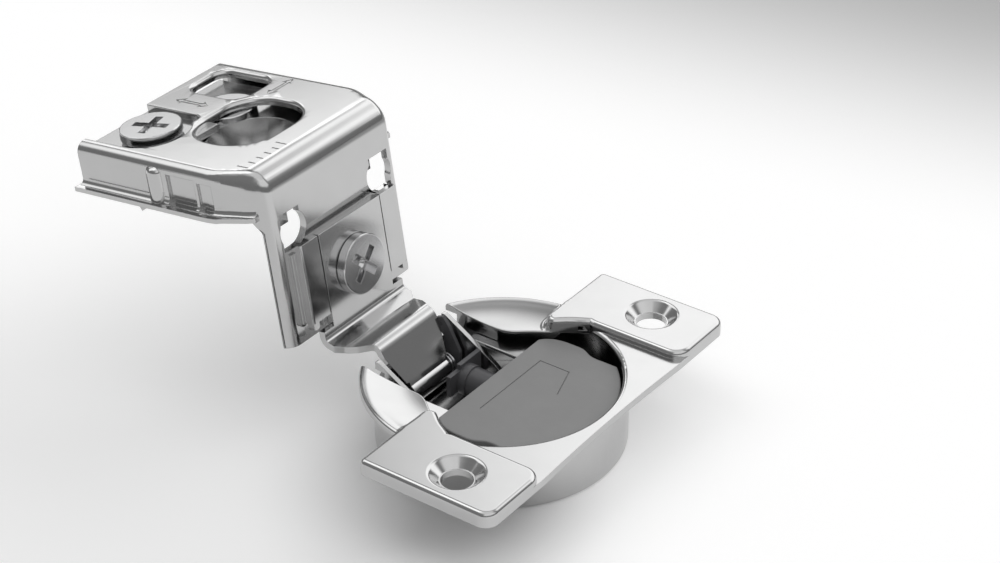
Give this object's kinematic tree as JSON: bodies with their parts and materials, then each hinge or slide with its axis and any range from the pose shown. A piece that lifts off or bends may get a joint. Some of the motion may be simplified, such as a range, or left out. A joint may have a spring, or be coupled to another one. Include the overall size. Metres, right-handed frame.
{
  "type": "concealed cup hinge",
  "caption": "Compact concealed hinge for a face-frame door: pressed steel cup with ears and soft-close insert, gooseneck arm, and a wrap-round bracket with two cam adjusting screws.",
  "frame": {"origin": "on the cup's axis, in the plane of the door's face that the flange lies on", "axes": "+X from the frame bracket to the front of the cup, +Y along the pivot pin, +Z out of the door"},
  "size_m": [0.0801, 0.0556, 0.037],
  "materials": {
    "plated_sheet": "bright nickel plate on pressed steel",
    "satin_sheet": "satin nickel plate on pressed steel",
    "screw_steel": "satin nickel-plated cam screw",
    "spring_steel": "bright drawn spring wire",
    "cover_plastic": "matt mid grey moulding",
    "damper_plastic": "matt dark grey moulding",
    "seal_rubber": "soft black seal"
  },
  "bodies": {
    "cup": {"cup_shell": "plated_sheet", "pivot_carrier": "satin_sheet", "pivot_pin": "screw_steel", "soft_close_cover": "cover_plastic", "damper_tray": "damper_plastic", "damper_rod": "screw_steel", "damper_seal": "seal_rubber", "damper_spring": "spring_steel", "torsion_spring_near": "spring_steel", "torsion_spring_far": "spring_steel"},
    "arm": {"gooseneck_arm": "plated_sheet", "damper_actuator": "damper_plastic"},
    "bracket": {"bracket_cover": "plated_sheet", "guide_plate": "plated_sheet", "guide_rivets": "screw_steel", "slide_plate": "satin_sheet"},
    "base": {"base_plate": "satin_sheet", "guide_stud": "screw_steel"},
    "side_screw": {"side_screw": "screw_steel"},
    "depth_screw": {"depth_screw": "screw_steel"},
    "sled": {"damper_sled": "damper_plastic"}
  },
  "joints": [
    {"name": "door_swing", "type": "hinge", "parent": "cup", "child": "arm", "pos_m": [-0.0135, 0, -0.0057], "axis": [0, 1, 0], "range_deg": [0, 98], "deforming": ["torsion_spring_near", "torsion_spring_far"]},
    {"name": "sled_slide", "type": "slide", "parent": "cup", "child": "sled", "axis": [1, 0, 0], "range_m": [0, 0.0048], "deforming": ["damper_spring"]},
    {"name": "side_slide", "type": "slide", "parent": "arm", "child": "bracket", "axis": [-0.1392, 0, 0.9903], "range_m": [-0.0013, 0.0013]},
    {"name": "side_screw_turn", "type": "hinge", "parent": "bracket", "child": "side_screw", "pos_m": [-0.0246, 0, 0.00985], "axis": [0.9903, 0, 0.1392], "range_deg": [-60, 60]},
    {"name": "depth_slide", "type": "slide", "parent": "bracket", "child": "base", "axis": [0.9903, 0, 0.1392], "range_m": [-0.0008, 0.0008]},
    {"name": "depth_screw_turn", "type": "hinge", "parent": "base", "child": "depth_screw", "pos_m": [-0.05445, -0.0077, 0.02464], "axis": [-0.1392, 0, 0.9903], "range_deg": [-60, 60]}
  ],
  "couplings": [
    {"joint": "sled_slide", "follows": "door_swing", "m_per_rad": 0.0028},
    {"joint": "side_screw_turn", "follows": "side_slide", "rad_per_m": -805.46},
    {"joint": "depth_screw_turn", "follows": "depth_slide", "rad_per_m": 1308.9}
  ]
}
